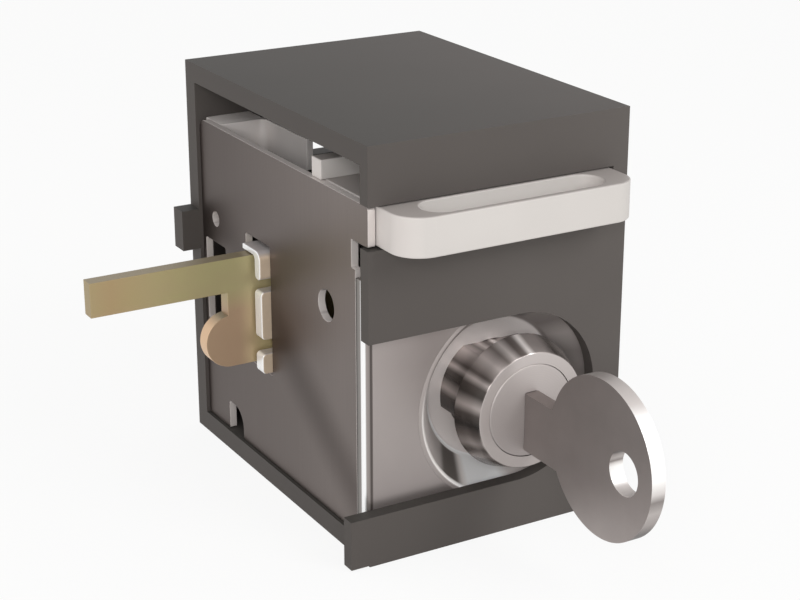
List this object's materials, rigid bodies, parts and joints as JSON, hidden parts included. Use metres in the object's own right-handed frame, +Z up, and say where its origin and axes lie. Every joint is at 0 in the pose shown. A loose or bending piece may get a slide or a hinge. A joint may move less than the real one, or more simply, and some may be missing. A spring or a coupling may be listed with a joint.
{
  "type": "circuit breaker key lock",
  "caption": "Key lock module for a circuit breaker: dark housing with a key cylinder that throws a sliding bolt lever, and a pull-out slider for a padlock shackle.",
  "frame": {"origin": "centre of the housing's flat base", "axes": "+X to the right, away from the open side with the bolt lever; +Y to the back; +Z up; the key comes out along -Y"},
  "size_m": [0.0897, 0.1182, 0.08],
  "materials": {
    "dark_moulding": "moulded dark grey plastic, fine matt grain",
    "dull_steel": "cold-rolled zinc-plated steel sheet, soft satin",
    "front_steel": "brighter zinc-plated steel sheet, satin",
    "bright_steel": "bright plated steel",
    "lock_nickel": "nickel-plated turned brass",
    "wafer_brass": "stamped brass",
    "key_nickel": "nickel-plated stamped key, bright cut edges",
    "yellow_zinc": "yellow-passivated zinc on steel",
    "light_moulding": "light grey moulded plastic, satin"
  },
  "bodies": {
    "frame": {"housing": "dark_moulding", "side_bracket": "dull_steel", "rear_yoke": "dull_steel", "lock_plate": "front_steel", "lever_guide": "bright_steel", "lock_barrel": "lock_nickel", "lock_washer": "bright_steel", "lock_nut": "lock_nickel", "guide_stud": "bright_steel", "plate_screws": "bright_steel", "bracket_screws": "bright_steel"},
    "lock_core": {"lock_plug": "lock_nickel", "wafers": "wafer_brass", "plug_clip": "bright_steel", "drive_cam": "dull_steel", "crank_pin": "bright_steel", "cam_screw": "bright_steel", "cam_washer": "bright_steel"},
    "key": {"key": "key_nickel"},
    "lever": {"bolt_lever": "yellow_zinc"},
    "slider": {"padlock_slider": "light_moulding"}
  },
  "joints": [
    {"name": "key_turn", "type": "hinge", "parent": "frame", "child": "lock_core", "pos_m": [0.0046, -0.0378, 0.0259], "axis": [0, 1, 0], "range_deg": [0, 90]},
    {"name": "key_pull", "type": "slide", "parent": "lock_core", "child": "key", "axis": [0, -1, 0], "range_m": [0, 0.032]},
    {"name": "lever_slide", "type": "slide", "parent": "frame", "child": "lever", "axis": [1, 0, 0], "range_m": [0, 0.01131]},
    {"name": "slider_pull", "type": "slide", "parent": "frame", "child": "slider", "axis": [0, -1, 0], "range_m": [0, 0.0165]}
  ],
  "couplings": [
    {"joint": "lever_slide", "follows": "key_turn", "m_per_rad": 0.0072025}
  ]
}
